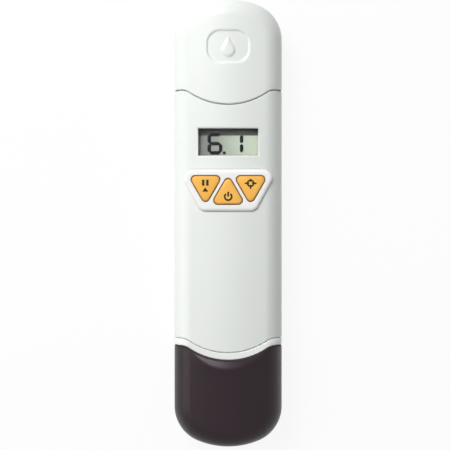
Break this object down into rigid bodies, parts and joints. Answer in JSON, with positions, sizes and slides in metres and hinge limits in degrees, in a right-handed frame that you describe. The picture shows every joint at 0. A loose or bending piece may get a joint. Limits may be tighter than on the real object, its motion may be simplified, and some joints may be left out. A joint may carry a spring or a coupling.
{
  "type": "pen ph meter",
  "caption": "Pocket water tester: a slim white pen with a small display window, three rounded triangular buttons, a pull-off battery cap and a dark cap over its glass electrode.",
  "frame": {"origin": "middle of the flat back, under the centre of the pen's bounding box, which rests on the ground", "axes": "+Y along the pen towards the battery cap, +Z out of the front with the display and buttons, +X to the right of the display"},
  "size_m": [0.036, 0.15, 0.0203],
  "materials": {
    "white_shell": "satin moulded",
    "white_band": "glossy moulded",
    "dark_cap": "satin moulded",
    "amber_key": "satin moulded",
    "clear_window": "clear",
    "display_glass": "liquid crystal panel",
    "black_plastic": "moulded",
    "grey_tray": "moulded",
    "rubber_connector": "soft",
    "rubber_seal": "soft",
    "green_board": "laminate",
    "steel_screw": "plain",
    "steel_cell": "plated",
    "brass_contact": "plated",
    "clear_glass": "clear",
    "white_junction": "porous",
    "sponge": "open foam"
  },
  "bodies": {
    "meter": {"front_housing": "white_shell", "rear_housing": "white_shell", "keypad_bezel": "white_shell", "hold_switch": "black_plastic", "power_switch": "black_plastic", "calibrate_switch": "black_plastic", "display_window": "clear_window", "display_panel": "display_glass", "display_frame": "black_plastic", "upper_connector": "rubber_connector", "lower_connector": "rubber_connector", "circuit_board": "green_board", "main_chip": "black_plastic", "board_parts": "black_plastic", "board_screw_1": "steel_screw", "board_screw_2": "steel_screw", "board_contacts": "brass_contact", "electrode_socket": "black_plastic", "battery_cap_seal": "rubber_seal"},
    "hold_key": {"hold_button": "amber_key"},
    "power_key": {"power_button": "amber_key"},
    "calibrate_key": {"calibrate_button": "amber_key"},
    "cell_tray": {"battery_tray": "grey_tray", "cell_contacts": "brass_contact", "coin_cell_1": "steel_cell", "coin_cell_2": "steel_cell", "coin_cell_3": "steel_cell", "coin_cell_4": "steel_cell"},
    "upper_cap": {"battery_cap": "white_shell"},
    "electrode_module": {"electrode_collar": "white_band", "module_seal": "rubber_seal", "electrode_cap_seal": "rubber_seal", "electrode_board": "green_board", "contact_pins": "brass_contact", "sensor_guard": "grey_tray", "glass_stem": "clear_glass", "glass_bulb": "clear_glass", "reference_junction": "white_junction", "temperature_probe": "steel_screw"},
    "lower_cap": {"electrode_cap": "dark_cap", "storage_sponge": "sponge"}
  },
  "joints": [
    {"name": "tray_slide", "type": "slide", "parent": "meter", "child": "cell_tray", "axis": [0, 1, 0], "range_m": [0, 0.016]},
    {"name": "battery_cap_slide", "type": "slide", "parent": "cell_tray", "child": "upper_cap", "axis": [0, 1, 0], "range_m": [0, 0.03]},
    {"name": "module_slide", "type": "slide", "parent": "meter", "child": "electrode_module", "axis": [0, -1, 0], "range_m": [0, 0.014]},
    {"name": "electrode_cap_slide", "type": "slide", "parent": "electrode_module", "child": "lower_cap", "axis": [0, -1, 0], "range_m": [0, 0.03]},
    {"name": "hold_press", "type": "slide", "parent": "meter", "child": "hold_key", "axis": [0, 0, -1], "range_m": [0, 0.0005], "stiffness_N_per_m": 800, "springref_m": -0.0004},
    {"name": "power_press", "type": "slide", "parent": "meter", "child": "power_key", "axis": [0, 0, -1], "range_m": [0, 0.0005], "stiffness_N_per_m": 800, "springref_m": -0.0004},
    {"name": "calibrate_press", "type": "slide", "parent": "meter", "child": "calibrate_key", "axis": [0, 0, -1], "range_m": [0, 0.0005], "stiffness_N_per_m": 800, "springref_m": -0.0004}
  ]
}
